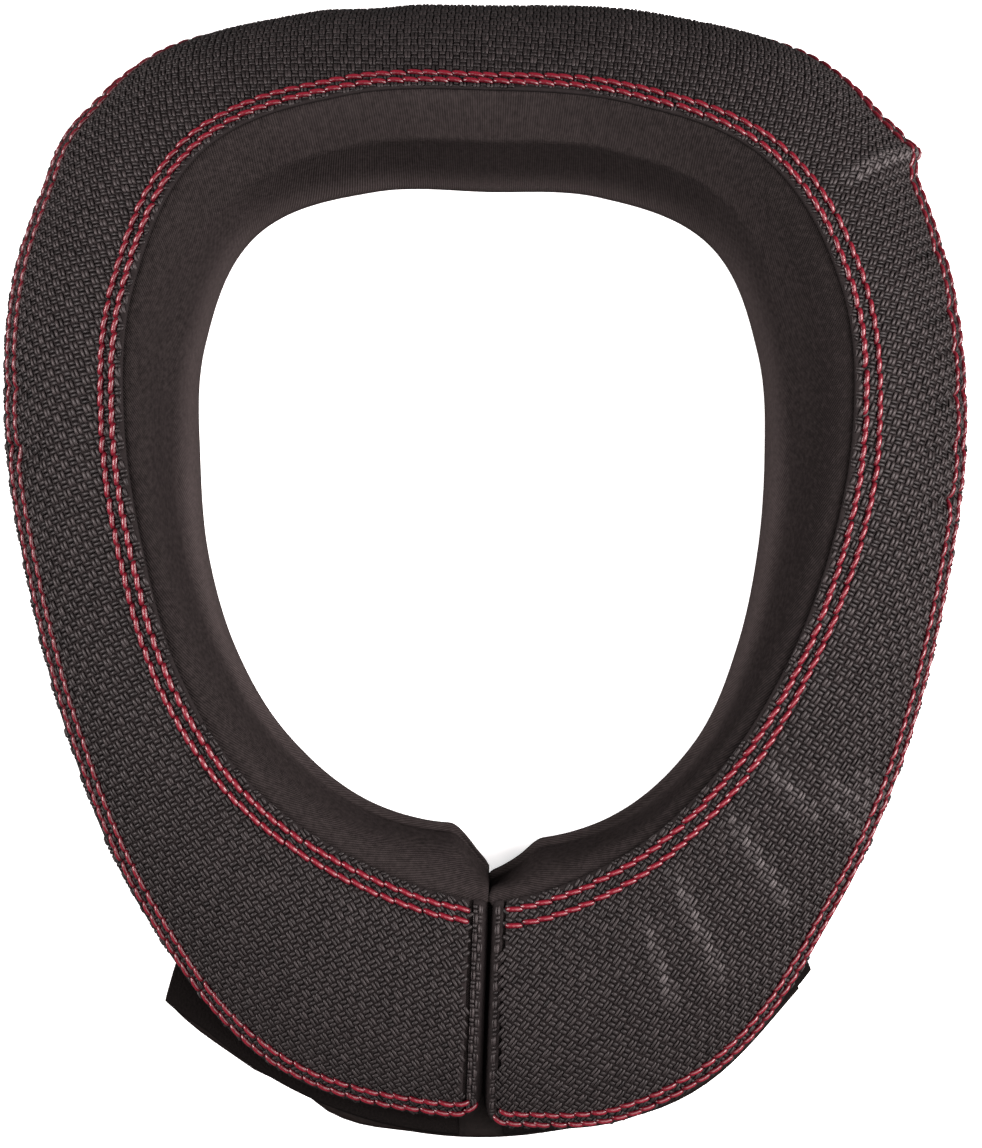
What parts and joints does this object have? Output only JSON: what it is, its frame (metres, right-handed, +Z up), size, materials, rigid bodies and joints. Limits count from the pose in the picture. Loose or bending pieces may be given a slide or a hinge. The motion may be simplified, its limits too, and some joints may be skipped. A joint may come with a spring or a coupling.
{
  "type": "protective neck collar",
  "caption": "Padded neck collar for riders: a foam ring split at the front, knit inside, woven cover outside with red twin stitching, and a hook-and-loop strap under the front.",
  "frame": {"origin": "middle of the resting plane under the whole collar", "axes": "+Z up from the resting plane, -Y towards the split front, +Y towards the high back, +X to the right as seen from above with the split nearest"},
  "size_m": [0.2656, 0.3118, 0.054],
  "materials": {
    "knit": "smooth stretch knit over foam",
    "woven": "coarse basket weave with glossy yarns",
    "loop_fabric": "brushed loop pile",
    "hook_tape": "woven tape",
    "thread": "twisted thread"
  },
  "bodies": {
    "root": {"neck_pad": "knit", "top_cover": "woven", "end_panel_left": "woven", "end_panel_right": "woven", "loop_patch_left": "loop_fabric", "loop_patch_right": "loop_fabric", "closure_strap": "hook_tape"}
  },
  "joints": []
}
